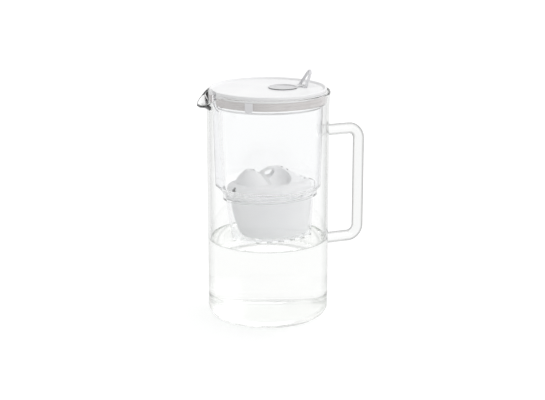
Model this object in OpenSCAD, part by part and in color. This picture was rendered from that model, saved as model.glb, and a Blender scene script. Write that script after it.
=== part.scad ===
// Water filter pitcher with a flip lid.
// Origin: centre of the base on the jug's axis. +Z is up, the handle lies along +X and the lip along -X.

/* [Jug] */
// Outer radius of the straight glass wall
jug_r = 65; // [58:1:80]
// Height of the rim above the base
jug_h = 246; // [230:1:300]
// Thickness of the glass wall
glass_wall = 2.6; // [2:0.1:3.6]
// Thickness of the glass floor
glass_floor = 5; // [3:0.5:9]
// Outer radius between wall and base
base_corner = 11; // [7:0.5:16]
// How far the mouth flares outward
flare = 1.2; // [0.6:0.1:2]
// Height of the flared part of the wall
flare_h = 25; // [16:1:36]

/* [Lip] */
// How far the pouring lip reaches past the wall
lip_reach = 13; // [9:0.5:16]
// How far the tip of the lip drops under the rim
lip_drop = 10; // [7:0.5:13]
// Half width of the lip's tip
lip_tip = 5; // [3:0.5:8]
// Half angle of the lip at the wall
lip_angle = 26; // [18:1:30]

/* [Handle] */
// Diameter of the glass rod
rod_d = 12; // [9:0.5:15]
// Clear width between the wall and the rod
hand_gap = 35.7; // [30:0.5:48]
// Height of the upper arm's centre
arm_top = 197.7; // [170:1:215]
// Height of the lower arm's centre
arm_bottom = 76; // [55:1:100]
// Bend radius of the rod's centre line
rod_bend = 12; // [8:0.5:20]
// Diameter of the fused pads at the wall
pad_d = 14; // [12.5:0.5:20]

/* [Hopper] */
// Gap between the hopper's top and the straight glass wall
hopper_gap = 3.6; // [3:0.1:6]
// Wall of the hopper
hopper_wall = 1.8; // [1.2:0.1:2.6]
// How much the hopper's radius shrinks from top to bottom
hopper_draft = 2.2; // [1:0.1:4]
// Depth of the flat side at the top, measured from the round wall
flat_depth = 1.8; // [1:0.1:3]
// How much further in the flat side stands at the bottom
flat_draft = 3; // [1:0.1:4]
// Height of the hopper's round bottom corner
hopper_bottom = 146; // [138:1:160]
// Height of the hopper's flange
hopper_flange = 2.6; // [1.8:0.1:4]
// Half width of the pouring notch in flange, gasket and lid
notch_half = 9; // [6:0.5:12]

/* [Gasket] */
// Height of the grey band
gasket_h = 8.5; // [6:0.5:11]
// Clearance between the band and the glass
gasket_gap = 0.4; // [0.3:0.05:0.8]
// Width of the pale tab
tab_w = 8.5; // [6:0.5:12]
// Height of the pale tab
tab_h = 10.6; // [8:0.5:13]
// Angle of the tab about the jug's axis
tab_angle = -130; // [-150:1:-100]

/* [Lid] */
// Gap between the lid's edge and the straight glass wall
lid_gap = 0.2; // [0.1:0.1:0.8]
// Height of the lid's edge
lid_edge = 3.3; // [2.4:0.1:5]
// Depth of the dish in the lid's top
dish_depth = 2.2; // [1:0.1:3]
// Thickness of the lid's plate
lid_plate_t = 2; // [1.6:0.1:3]
// How far the lid's plug ring reaches into the hopper
plug_depth = 5.5; // [4:0.5:7]

/* [Flip cap] */
// Radius of the fill opening
fill_r = 14.6; // [11:0.1:17]
// Distance of the fill opening's centre from the jug's axis
fill_x = 17.1; // [15:0.1:19]
// Clearance round the cap
cap_gap = 0.6; // [0.5:0.05:1]
// Depth of the dish in the cap
cap_dish = 1.2; // [0.6:0.1:1.5]
// How far the cap's rim reaches past the fill opening
cap_reach = 1; // [0.8:0.1:1.6]
// Thickness of the cap's rim
rim_t = 0.6; // [0.6:0.1:1.2]
// Height of the sealing ring under the cap's rim
ring_h = 0.4; // [0.4:0.1:0.9]
// Distance of the hinge from the jug's axis
hinge_x = 39; // [38:0.1:40]
// Depth of the hinge axis under the lid's dish
hinge_sink = 1.4; // [1.3:0.1:1.8]
// Radius of the hinge barrel
barrel_r = 2.2; // [1.9:0.1:3]
// Radius of the hinge pin
pin_r = 1; // [0.8:0.1:1.3]
// Running clearance of the barrel on the pin
pin_gap = 0.05; // [0.03:0.01:0.1]
// Half width of the finger loop at its feet
loop_half = 9; // [8:0.5:12]
// Radius of the arch at the loop's top
loop_arch = 3.5; // [2.5:0.5:5]
// Length of the loop from the hinge to its top
loop_len = 20; // [16:0.5:24]
// Radius of the loop's bar
loop_bar_r = 1.6; // [1.2:0.1:2]
// Lean of the loop toward the handle, from upright
loop_lean = 28; // [15:1:32]

/* [Cartridge] */
// Distance of the cartridge's centre from the jug's axis
cart_x = 3; // [2:0.1:3.5]
// Half length of the cartridge flange
cart_a = 50.3; // [46:0.1:50.5]
// Half width of the cartridge flange
cart_b = 33; // [29:0.1:38]
// Height of the flange's underside
cart_z = 133.5; // [120:0.5:145]
// Thickness of each of the two flanges
flange_t = 2.2; // [1.6:0.1:3]
// Height of the cup under the flange
cup_h = 44.5; // [36:0.5:46]
// Wall of cup and cap
cart_wall = 1.6; // [1.2:0.1:2.2]
// Height of the cap's shoulder above its flange
shoulder_h = 7.5; // [6:0.5:9]
// Height of the cap's top above its flange
cap_h = 24; // [21:0.5:27]

/* [Hidden] */
$fn = 96;
coarse_fn = 24;
eps = 0.01;
big = 400;
seat_gap = 0.3;

// Glass
inner_r = jug_r - glass_wall;
rim_r = glass_wall / 2;
flare_z = jug_h - flare_h;
flare_top = jug_h - rim_r;
flare_steps = 8;
rim_centre = inner_r + flare * pow((flare_top - flare_z) / flare_h, 2) + rim_r;

// Lip: its solid nose, the trough cut into it and the beads along its edges
lip_root_z = jug_h - lip_drop - 2;
lip_root_angle = lip_angle / 3;
tip_x = jug_r + lip_reach - rim_r;
tip_z = jug_h - lip_drop - rim_r;
trough_r = rim_r - 0.1;
trough_tip_x = tip_x - 1.6;
trough_tip = lip_tip - 1;
trough_back_r = jug_r - 15;
trough_rises = [glass_wall - 0.2, 24];
bead_angle = lip_angle + 1;
bead_end_x = rim_centre - 0.15;
bead_end_z = flare_top - 0.35;

// Handle
rod_x = jug_r + hand_gap + rod_d / 2;
pad_len = 3;
pad_root = 4;

// Levels of the parts in the mouth
flange_top = jug_h - 0.1;
gasket_top = flange_top - hopper_flange;
gasket_z = gasket_top - gasket_h;
bead_z = gasket_z - 1.4;
bead_foot_z = bead_z - 2.5;
lid_z = flange_top + seat_gap;
lid_top = lid_z + lid_edge;
dish_z = lid_top - dish_depth;
plate_z = dish_z - lid_plate_t;
plug_z = plate_z - plug_depth;

// Hopper
hopper_r = inner_r - hopper_gap;
hopper_low_r = hopper_r - hopper_draft;
mouth_r = hopper_r - hopper_wall;
flat_x = hopper_r - flat_depth;
flat_tilt = atan(flat_draft / (flange_top - hopper_bottom));
flat_top_z = bead_z - 3;
lid_r = inner_r - lid_gap;
flange_r = lid_r + 0.2;
neck_r = flange_r - 2.5;
bead_r = flange_r - 1.2;
floor_z = cart_z + 2 * flange_t - 0.4;
floor_run = hopper_bottom - floor_z;
seal_t = 0.8;
ledge_z = cart_z - seal_t - seat_gap;
well_a = cart_a + 0.5;
well_b = cart_b + 0.5;
well_depth = 20;

// Cartridge
cup_a = cart_a - 4.3;
cup_b = cart_b - 4;
foot_a = cup_a - 8;
foot_b = cup_b - 4;
foot_x = 4.2;
cup_z = cart_z - cup_h;
cap_z = cart_z + flange_t + 0.1;
cap_floor = cap_z + flange_t;
shoulder_z = cap_floor + shoulder_h;
crown_z = cap_floor + cap_h;
outlet_z = cup_z + cart_wall;
slot_w = 2;
slot_pitch = 6.5;

// Beds and screens, from the outlet up
screen_gap = 0.25;
felt_t = 2;
divider_t = 1.4;
resin_share = 0.45;
bed_top = cart_z - 1.4;
divider_z = outlet_z + felt_t + (bed_top - outlet_z - felt_t) * resin_share;

// Lobes of the cartridge cap: half length, half width and centre of each foot
left_lobe = [19, cart_b - 11, cart_x - 17];
right_lobe = [27, cart_b - 10, cart_x + 10];
cap_foot = [cart_a - 3.2, cart_b - 3];
cap_shoulder = [cart_a - 7.5, cart_b - 7.5];

// Finger recesses beside the pull bar, and the gap under the bar
recess_r = 12.5;
recess_at = [cart_x + 5, 16, crown_z - 5];
eye_r = 3;
eye_x = cart_x - 5;
eye_w = 5;
eye_z = crown_z - 6;

// Inlet holes of the cap, from the cartridge's centre
hole_r = 1.1;
hole_spots = [[-36.5, -12], [-36.5, 12], [34, -10], [34, 10], [-13, -4], [-13, 4], [15, -4], [15, 4]];

// Sleeve under the hopper: half lengths, half widths and centres at its foot and at its top
sleeve_z = cup_z - 1.1 - hopper_wall;
sleeve_gap = 1;
sleeve_side = 1.6;
sleeve_room = 4.5;
sleeve_a = [foot_a + sleeve_room + hopper_wall, cup_a + sleeve_gap + hopper_wall];
sleeve_b = [foot_b + sleeve_side + hopper_wall, cup_b + sleeve_side + hopper_wall];
sleeve_x = [cart_x + foot_x - sleeve_room / 2, cart_x];
drain_w = 6;
drain_pitch = 12;

// Lid
plug_r = mouth_r - 0.4;
plug_t = 1.7;
edge_w = 1.8;
edge_break = 0.7;
collar_t = 1.6;
lid_clear = 0.4;

// Cap with its rim and sealing ring
cap_r = fill_r - cap_gap;
cap_rim_r = fill_r + cap_reach;
ring_z = dish_z + seat_gap;
cap_rim_z = ring_z + ring_h;
cap_top = cap_rim_z + rim_t;
cap_edge = 1.2;

// Hinge: the barrels lie in a tray under the lid's plate, whose ramp leaves room for the loop
hinge_z = dish_z - hinge_sink;
barrel_half = loop_half + loop_bar_r;
tray_half = barrel_half + seat_gap;
tray_t = 1.4;
tray_depth = barrel_r + seat_gap;
tray_back = barrel_r + 0.4;
ramp_end = 12.5;
arm_half = 5;

// The loop's arch is a little thinner than its legs and starts this many degrees inside them
arch_step = 0.1;
arch_lap = 8;
arm_x = fill_x + cap_rim_r - cap_edge;
arm_t = cap_top - dish_z - seat_gap;

// Oval of half length a and half width b
module oval(a, b) {
    polygon([for (i = [0 : 47]) [a * cos(i * 7.5), b * sin(i * 7.5)]]);
}

// Thin oval slice for a hull
module slice(z, a, b, x = 0) {
    translate([x, 0, z]) linear_extrude(eps) oval(a, b);
}

// Everything past the hopper's flat side, moved inward by inset
module past_flat(inset) {
    translate([-flat_x + inset, 0, flange_top])
        rotate([0, -flat_tilt, 0])
        translate([-big, -big / 2, -big + 20])
        cube([big, big, big]);
}

// Pouring notch: a block on the lip's side, outside the plane x = -from
module pour_notch(from, half = notch_half) {
    translate([-big, -half, 0]) cube([big - from, 2 * half, big]);
}

// Radius of the glass wall's flare at height z, added to the straight wall
function flare_at(z) = flare * pow(max(0, z - flare_z) / flare_h, 2);

// Half outline of one side of the glass: its radius, lower end, corner radius and upper end
module glass_outline(r, bottom, corner, top) {
    union() {
        translate([0, bottom + corner]) square([r, flare_z - bottom - corner]);
        translate([0, bottom]) square([r - corner, corner + eps]);
        translate([r - corner, bottom + corner]) circle(corner);
        polygon(concat([[0, flare_z - eps]],
            [for (i = [0 : flare_steps]) let (z = flare_z + (top - flare_z) * i / flare_steps)
                [r + flare_at(z), z]],
            [[0, top]]));
    }
}

// Half section of the glass with its rounded rim
module glass_wall_2d() {
    difference() {
        glass_outline(jug_r, 0, base_corner, flare_top);
        glass_outline(inner_r, glass_floor, base_corner - glass_wall, flare_top + eps);
        translate([-big, -big / 2]) square([big, big]);
    }
    translate([rim_centre, flare_top]) circle(rim_r);
}

// Solid nose of the lip, before its trough is cut
module lip_nose() {
    hull() for (s = [-1, 1]) {
        translate([-tip_x, s * lip_tip, tip_z]) sphere(rim_r, $fn = coarse_fn);
        rotate([0, 0, 180 + s * lip_angle]) translate([rim_centre, 0, flare_top])
            sphere(rim_r, $fn = coarse_fn);
        rotate([0, 0, 180 + s * lip_root_angle]) translate([jug_r - rim_r, 0, lip_root_z])
            sphere(rim_r, $fn = coarse_fn);
    }
}

// Trough that the water runs through, open to the top and to the jug's inside
module lip_trough() {
    hull() for (rise = trough_rises) for (s = [-1, 1]) {
        translate([-trough_tip_x, s * trough_tip, tip_z + rise]) sphere(trough_r, $fn = 16);
        for (r = [rim_centre - 1, trough_back_r])
            rotate([0, 0, 180 + s * lip_angle]) translate([r, 0, flare_top + rise])
                sphere(trough_r, $fn = 16);
        rotate([0, 0, 180 + s * lip_root_angle]) translate([trough_back_r, 0, lip_root_z + rise])
            sphere(trough_r, $fn = 16);
    }
}

// Round bead along the lip's edge, on the side s
module lip_bead(s) {
    hull() {
        translate([-tip_x, s * lip_tip, tip_z]) sphere(rim_r, $fn = coarse_fn);
        rotate([0, 0, 180 - s * bead_angle]) translate([bead_end_x, 0, bead_end_z])
            sphere(trough_r, $fn = coarse_fn);
    }
}

module jug_body() {
    color("lightcyan", 0.35) union() {
        difference() {
            union() {
                rotate_extrude() glass_wall_2d();
                difference() {
                    lip_nose();
                    cylinder(h = big, r = inner_r + flare);
                }
            }
            lip_trough();
        }
        lip_bead(-1);
        lip_bead(1);
    }
}

// Quarter bend of the rod at the arm height z: turn is 1 for the upper arm and -1 for the lower
module rod_bend_piece(z, turn) {
    translate([rod_x - rod_bend, 0, z + turn * -rod_bend])
        rotate([90, 0, 0])
        rotate_extrude(angle = turn * 90)
        translate([rod_bend, 0])
        circle(rod_d / 2);
}

module jug_handle() {
    color("lightcyan", 0.35) difference() {
        union() {
            for (z = [arm_top, arm_bottom]) {
                translate([jug_r - pad_root, 0, z]) rotate([0, 90, 0])
                    cylinder(h = rod_x - rod_bend - jug_r + pad_root, r = rod_d / 2);
                translate([jug_r - pad_root, 0, z]) rotate([0, 90, 0])
                    cylinder(h = pad_root, r = pad_d / 2);
                translate([jug_r, 0, z]) rotate([0, 90, 0])
                    cylinder(h = pad_len, r1 = pad_d / 2, r2 = rod_d / 2);
            }
            translate([rod_x, 0, arm_bottom + rod_bend])
                cylinder(h = arm_top - arm_bottom - 2 * rod_bend, r = rod_d / 2);
            rod_bend_piece(arm_top, 1);
            rod_bend_piece(arm_bottom, -1);
        }
        cylinder(h = jug_h, r = jug_r);
    }
}

// Tapered oval body that follows the cartridge cup from z0 up to z1, wider by grow
module cup_taper(z0, z1, grow) {
    t0 = (z0 - cup_z) / cup_h;
    t1 = (z1 - cup_z) / cup_h;
    hull() {
        slice(z0, foot_a + (cup_a - foot_a) * t0 + grow, foot_b + (cup_b - foot_b) * t0 + grow,
              cart_x + foot_x * (1 - t0));
        slice(z1 - eps, foot_a + (cup_a - foot_a) * t1 + grow, foot_b + (cup_b - foot_b) * t1 + grow,
              cart_x + foot_x * (1 - t1));
    }
}

// Tapered oval body of the hopper's sleeve, or its inside, from z0 up to z1
module sleeve_taper(z0, z1, inset) {
    hull() for (end = [[z0, 0], [z1 - eps, 1]])
        slice(end[0], sleeve_a[end[1]] - inset, sleeve_b[end[1]] - inset, sleeve_x[end[1]]);
}

// Slots across the floor at height z of the sleeve or the cup, count of them, w wide
module floor_slots(count, w, pitch, half, z, depth) {
    for (i = [0 : count - 1])
        translate([cart_x + foot_x + (i - (count - 1) / 2) * pitch - w / 2, -half, z - 1])
            cube([w, 2 * half, depth + 2]);
}

// Round cup of the hopper, inset by its wall for the inside
module hopper_round(inset) {
    top = flange_top + (inset > 0 ? 1 : 0);
    rotate_extrude() polygon([
        [0, floor_z - hopper_wall + inset],
        [hopper_low_r - floor_run - inset * 0.4, floor_z - hopper_wall + inset],
        [hopper_low_r - inset, hopper_bottom - hopper_wall + inset],
        [hopper_r - inset, bead_z],
        [hopper_r - inset, top],
        [0, top]]);
}

// Flange, groove for the gasket and bead round the hopper's mouth
module hopper_mouth() {
    rotate_extrude() polygon([
        [mouth_r, bead_foot_z],
        [hopper_r, bead_foot_z],
        [bead_r, bead_z],
        [bead_r, gasket_z],
        [neck_r, gasket_z],
        [neck_r, gasket_top],
        [flange_r, gasket_top],
        [flange_r, flange_top],
        [mouth_r, flange_top]]);
}

module hopper_shell() {
    color("aliceblue", 0.4) difference() {
        union() {
            difference() {
                union() {
                    hopper_round(0);
                    hopper_mouth();
                }
                intersection() {
                    past_flat(0);
                    union() {
                        translate([-big / 2, -big / 2, 0]) cube([big, big, flat_top_z]);
                        pour_notch(0);
                    }
                }
            }
            translate([cart_x, 0, ledge_z - hopper_wall])
                linear_extrude(hopper_bottom - ledge_z) oval(well_a + hopper_wall, well_b + hopper_wall);
            sleeve_taper(sleeve_z, ledge_z, 0);
        }
        difference() {
            hopper_round(hopper_wall);
            past_flat(hopper_wall);
        }
        translate([cart_x, 0, ledge_z]) linear_extrude(well_depth) oval(well_a, well_b);
        sleeve_taper(sleeve_z + hopper_wall, ledge_z + 1, hopper_wall);
        floor_slots(5, drain_w, drain_pitch, foot_b * 0.6, sleeve_z, hopper_wall);
    }
}

module rim_gasket() {
    half_gap = seat_gap / 2;
    lobe_z = [0, 0.22, 0.5, 0.78, 1];
    lobe_in = [0.5, 0, 0.7, 0, 0.5];
    band_r = inner_r + flare_at(gasket_z) - gasket_gap;
    color("darkgray") difference() {
        rotate_extrude() polygon(concat(
            [for (i = [0 : 4])
                [band_r - lobe_in[i], gasket_z + half_gap + (gasket_h - seat_gap) * lobe_z[i]]],
            [[neck_r + 0.05, gasket_top - half_gap], [neck_r + 0.05, gasket_z + half_gap]]));
        pour_notch(0);
        intersection() {
            rotate([0, 0, tab_angle]) translate([0, -tab_w / 2 - 0.2, gasket_z - 1])
                cube([jug_r, tab_w + 0.4, gasket_h + 2]);
            difference() {
                cylinder(h = big, r = jug_r);
                cylinder(h = big, r = bead_r);
            }
        }
    }
}

module gasket_tab() {
    tab_out = inner_r + flare_at(gasket_z) - gasket_gap - 0.2;
    color("whitesmoke") intersection() {
        rotate([0, 0, tab_angle]) translate([0, -tab_w / 2, gasket_top - seat_gap / 2 - tab_h])
            cube([jug_r, tab_w, tab_h]);
        difference() {
            cylinder(h = big, r = tab_out);
            cylinder(h = big, r = bead_r + 0.05);
        }
    }
}

module cartridge_cup() {
    color("white") difference() {
        union() {
            translate([cart_x, 0, cart_z]) linear_extrude(flange_t) oval(cart_a, cart_b);
            cup_taper(cup_z, cart_z + 1, 0);
        }
        cup_taper(outlet_z, cart_z + flange_t + 1, -cart_wall);
        floor_slots(9, slot_w, slot_pitch, foot_b * 0.55, cup_z, cart_wall);
    }
}

// Two finger recesses and the gap under the pull bar between them, wider by grow
module finger_cuts(grow) {
    for (s = [-1, 1])
        translate([recess_at.x, s * recess_at.y, recess_at.z]) sphere(recess_r + grow, $fn = 40);
    for (x = [eye_x, eye_x + eye_w])
        translate([x, 0, eye_z]) rotate([90, 0, 0]) cylinder(h = 60, r = eye_r + grow, center = true);
    translate([eye_x, -30, eye_z - eye_r - grow]) cube([eye_w, 60, 2 * (eye_r + grow)]);
}

// Body of the cartridge cap, smaller by inset
module cap_body(inset) {
    foot_z = cap_floor - (inset > 0 ? 4 : 0.5);
    lobe_z = shoulder_z - inset - 0.5;
    hull() {
        slice(foot_z, cap_foot[0] - inset, cap_foot[1] - inset, cart_x);
        slice(shoulder_z - inset, cap_shoulder[0] - inset, cap_shoulder[1] - inset, cart_x);
    }
    hull() {
        slice(lobe_z, left_lobe[0] - inset, left_lobe[1] - inset, left_lobe[2]);
        translate([cart_x - 18, 0, crown_z - 10.5]) sphere(8 - inset, $fn = 32);
    }
    hull() {
        slice(lobe_z, right_lobe[0] - inset, right_lobe[1] - inset, right_lobe[2]);
        translate([cart_x + 7, 0, crown_z - 9]) sphere(9 - inset, $fn = 32);
        translate([cart_x - 4, 0, crown_z - 8]) sphere(6 - inset, $fn = coarse_fn);
    }
}

module cartridge_cap() {
    color("white") difference() {
        union() {
            translate([cart_x, 0, cap_z]) linear_extrude(flange_t) oval(cart_a, cart_b);
            difference() {
                cap_body(0);
                finger_cuts(0);
            }
        }
        difference() {
            cap_body(cart_wall);
            finger_cuts(cart_wall);
        }
        for (spot = hole_spots)
            translate([cart_x + spot[0], spot[1], cap_floor + 2])
                cylinder(h = 2 * cap_h, r = hole_r, $fn = 16);
    }
}

module cartridge_seal() {
    color("gainsboro") translate([cart_x, 0, cart_z - seal_t]) linear_extrude(seal_t - 0.02) difference() {
        oval(cart_a - 0.6, cart_b - 0.6);
        oval(cup_a + 1.2, cup_b + 1.2);
    }
}

// Filling between the cup's walls, from z0 up to z1
module cup_filling(z0, z1) {
    cup_taper(z0 + screen_gap, z1, -cart_wall - screen_gap);
}

module outlet_screen() {
    color("ivory") cup_filling(outlet_z, outlet_z + felt_t);
}

module resin_bed() {
    color("goldenrod") cup_filling(outlet_z + felt_t, divider_z);
}

module bed_divider() {
    color("ivory") cup_filling(divider_z, divider_z + divider_t);
}

module carbon_bed() {
    color("dimgray") cup_filling(divider_z + divider_t, bed_top);
}

module inlet_screen() {
    color("ivory") cup_filling(bed_top, bed_top + divider_t);
}

// Cylinder on the hinge axis, h long
module on_hinge(h, r) {
    translate([hinge_x, 0, hinge_z]) rotate([90, 0, 0]) cylinder(h = h, r = r, center = true);
}

// Section of the hinge tray, wider by grow, with its top at height top over the hinge axis
module tray_section(grow, top) {
    polygon([
        [-tray_back - grow, top],
        [-tray_back - grow, -tray_depth - grow],
        [tray_back + grow / 2, -tray_depth - grow],
        [ramp_end + grow, hinge_sink - grow],
        [ramp_end + grow, top]]);
}

// Hinge tray of half width half, made from its section
module hinge_tray(half, grow, top) {
    translate([hinge_x, half, hinge_z]) rotate([90, 0, 0]) linear_extrude(2 * half) tray_section(grow, top);
}

module lid_plate() {
    color("ghostwhite") difference() {
        union() {
            rotate_extrude() polygon([
                [0, plate_z],
                [plug_r - plug_t, plate_z],
                [plug_r - plug_t, plug_z],
                [plug_r, plug_z],
                [plug_r, lid_z],
                [lid_r, lid_z],
                [lid_r, lid_top - edge_break],
                [lid_r - edge_break, lid_top],
                [lid_r - edge_w, lid_top],
                [lid_r - edge_w - dish_depth, dish_z],
                [0, dish_z]]);
            translate([fill_x, 0, plug_z]) cylinder(h = plate_z - plug_z + 1, r = fill_r + collar_t);
            hinge_tray(tray_half + tray_t, tray_t, 0);
        }
        translate([fill_x, 0, plug_z - 1]) cylinder(h = big, r = fill_r);
        hinge_tray(tray_half, 0, big);
        on_hinge(2 * (tray_half + tray_t), pin_r + 0.02);
        pour_notch(flat_x + lid_clear, notch_half + lid_clear);
        intersection() {
            past_flat(hopper_wall + lid_clear);
            translate([-big / 2, -big / 2, 0]) cube([big, big, lid_z]);
        }
    }
}

module hinge_pin() {
    color("silver") on_hinge(2 * tray_half + tray_t, pin_r);
}

module flip_cap() {
    dish_r = cap_rim_r - cap_edge - cap_dish;
    color("ghostwhite") difference() {
        union() {
            translate([fill_x, 0, 0]) difference() {
                union() {
                    translate([0, 0, plate_z]) cylinder(h = cap_top - plate_z, r = cap_r);
                    translate([0, 0, cap_rim_z]) cylinder(h = cap_top - cap_rim_z, r = cap_rim_r);
                }
                translate([0, 0, cap_top - cap_dish]) cylinder(h = 5, r1 = dish_r, r2 = dish_r + 5);
            }
            translate([arm_x, -arm_half, dish_z + seat_gap])
                cube([hinge_x - arm_x, 2 * arm_half, arm_t]);
            translate([hinge_x - barrel_r, -arm_half, hinge_z])
                cube([barrel_r, 2 * arm_half, cap_top - hinge_z]);
            on_hinge(2 * arm_half, barrel_r);
        }
        on_hinge(big, pin_r + pin_gap);
    }
}

module flip_cap_seal() {
    color("dimgray") difference() {
        translate([fill_x, 0, ring_z]) cylinder(h = ring_h - 0.02, r = cap_rim_r - 0.3);
        translate([fill_x, 0, ring_z - 1]) cylinder(h = ring_h + 2, r = cap_r + 0.05);
        translate([fill_x, -arm_half - 0.05, ring_z - 1]) cube([big, 2 * arm_half + 0.1, ring_h + 2]);
    }
}

module lift_loop() {
    barrel_y = (arm_half + 0.05 + barrel_half) / 2;
    arch_z = loop_len - loop_arch;
    foot_far = norm([loop_half, arch_z]);
    spread = acos(loop_arch / foot_far) - atan(arch_z / loop_half);
    leg_len = sqrt(pow(foot_far, 2) - pow(loop_arch, 2));
    color("gainsboro") difference() {
        union() {
            for (s = [-1, 1])
                translate([0, s * barrel_y, 0]) on_hinge(2 * (barrel_half - barrel_y), barrel_r);
            translate([hinge_x, 0, hinge_z]) rotate([0, loop_lean, 0]) {
                for (s = [-1, 1])
                    translate([0, s * loop_half, 0]) rotate([s * spread, 0, 0])
                        cylinder(h = leg_len, r = loop_bar_r);
                translate([0, 0, arch_z]) rotate([0, -90, 0]) rotate([0, 0, spread - arch_lap - 90])
                    rotate_extrude(angle = 180 - 2 * (spread - arch_lap))
                    translate([loop_arch, 0]) circle(loop_bar_r - arch_step);
            }
        }
        on_hinge(big, pin_r + pin_gap);
    }
}

jug_body();
jug_handle();
hopper_shell();
rim_gasket();
gasket_tab();
cartridge_cup();
cartridge_cap();
cartridge_seal();
inlet_screen();
carbon_bed();
bed_divider();
resin_bed();
outlet_screen();
lid_plate();
hinge_pin();
flip_cap();
flip_cap_seal();
lift_loop();
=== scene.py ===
# %% [markdown]
# # A water filter pitcher in glass and white plastic
# The frame brings the working parts of the pitcher in metres. This lesson dresses them: blown
# glass with a pulled lip, a clear hopper, a frosted lid with a flip cap, and a moulded cartridge.
# The frame comes first, because every piece is modelled in its space and rides on one of its bodies.

# %% Load the frame
import bmesh
import bpy
import math
from mathutils import Matrix, Vector


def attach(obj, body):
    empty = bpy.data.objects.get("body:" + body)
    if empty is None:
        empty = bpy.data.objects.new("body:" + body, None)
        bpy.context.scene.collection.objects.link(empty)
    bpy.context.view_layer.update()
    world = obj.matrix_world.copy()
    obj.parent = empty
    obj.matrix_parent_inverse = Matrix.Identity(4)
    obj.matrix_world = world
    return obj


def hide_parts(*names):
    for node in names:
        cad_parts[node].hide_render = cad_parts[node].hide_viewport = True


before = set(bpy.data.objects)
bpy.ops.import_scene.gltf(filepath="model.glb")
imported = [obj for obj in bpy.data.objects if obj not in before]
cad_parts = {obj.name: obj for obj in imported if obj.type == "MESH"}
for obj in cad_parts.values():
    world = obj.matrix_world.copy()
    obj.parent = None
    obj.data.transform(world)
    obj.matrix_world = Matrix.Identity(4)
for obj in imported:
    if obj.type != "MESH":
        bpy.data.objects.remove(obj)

scene = bpy.context.scene
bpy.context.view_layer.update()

# %% [markdown]
# The camera stands 1.4 m from the jug's axis, turned by 22 degrees toward the lip, and looks down
# by 15 degrees. A long lens keeps the tall glass walls nearly parallel, as in a product picture.

# %% Camera
CAMERA_AT = (-0.5200, -1.2999, 0.5010)
CAMERA_TURN = 22
CAMERA_DOWN = 15
LENS = 88.78

camera_data = bpy.data.cameras.new("camera")
camera_data.sensor_width = 36
camera_data.lens = LENS
camera = bpy.data.objects.new("camera", camera_data)
camera.location = CAMERA_AT
camera.rotation_euler = (math.radians(90 - CAMERA_DOWN), 0, math.radians(-CAMERA_TURN))
scene.collection.objects.link(camera)
scene.camera = camera
print("camera at", [round(value, 3) for value in CAMERA_AT])

# %% [markdown]
# ## Materials
# Moulded plastic is never perfectly even. One node group gives every plastic its fine grain: two
# noises, one for the moulded texture and one for a slow change of tone. The texture goes to bump
# and roughness, the tone goes to the colour, and each material weighs them itself.

# %% Shared surface detail
def node_group(name, inputs, outputs):
    group = bpy.data.node_groups.new(name, "ShaderNodeTree")
    for label, kind, value in inputs:
        socket = group.interface.new_socket(label, in_out="INPUT", socket_type=kind)
        socket.default_value = value
    for label, kind in outputs:
        group.interface.new_socket(label, in_out="OUTPUT", socket_type=kind)
    return group, group.nodes.new("NodeGroupInput"), group.nodes.new("NodeGroupOutput")


def add_node(tree, kind, **values):
    node = tree.nodes.new(kind)
    for key, value in values.items():
        setattr(node, key, value)
    return node


def surface_group():
    group, given, put_out = node_group(
        "moulded surface",
        [("Grain Scale", "NodeSocketFloat", 900.0), ("Tone Scale", "NodeSocketFloat", 25.0)],
        [("Grain", "NodeSocketFloat"), ("Tone", "NodeSocketFloat")])
    place = add_node(group, "ShaderNodeTexCoord")
    grain = add_node(group, "ShaderNodeTexNoise")
    grain.inputs["Detail"].default_value = 3
    tone = add_node(group, "ShaderNodeTexNoise")
    tone.inputs["Detail"].default_value = 2
    for noise, scale in ((grain, "Grain Scale"), (tone, "Tone Scale")):
        group.links.new(place.outputs["Object"], noise.inputs["Vector"])
        group.links.new(given.outputs[scale], noise.inputs["Scale"])
    group.links.new(grain.outputs["Fac"], put_out.inputs["Grain"])
    group.links.new(tone.outputs["Fac"], put_out.inputs["Tone"])
    return group


def light_path_share(tree, rays):
    """1 for the named kinds of ray, and 0 for the rest."""
    path = add_node(tree, "ShaderNodeLightPath")
    last = path.outputs[rays[0]]
    for name in rays[1:]:
        join = add_node(tree, "ShaderNodeMath", operation="MAXIMUM")
        tree.links.new(last, join.inputs[0])
        tree.links.new(path.outputs[name], join.inputs[1])
        last = join.outputs[0]
    return last


SURFACE = surface_group()
print("group:", SURFACE.name)

# %% Materials for plastic, felt and metal
def start_material(name):
    material = bpy.data.materials.new(name)
    material.use_nodes = True
    return material, material.node_tree, material.node_tree.nodes["Principled BSDF"]


def let_lamplight_through(tree, shader, shade):
    """Lamplight and bounced light pass the surface dimmed by shade, all other rays see the shader."""
    passing = add_node(tree, "ShaderNodeBsdfTransparent")
    passing.inputs["Color"].default_value = (*shade, 1)
    choice = add_node(tree, "ShaderNodeMixShader")
    tree.links.new(light_path_share(tree, ["Is Shadow Ray", "Is Diffuse Ray"]), choice.inputs["Fac"])
    tree.links.new(shader.outputs["BSDF"], choice.inputs[1])
    tree.links.new(passing.outputs["BSDF"], choice.inputs[2])
    tree.links.new(choice.outputs["Shader"], tree.nodes["Material Output"].inputs["Surface"])


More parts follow.
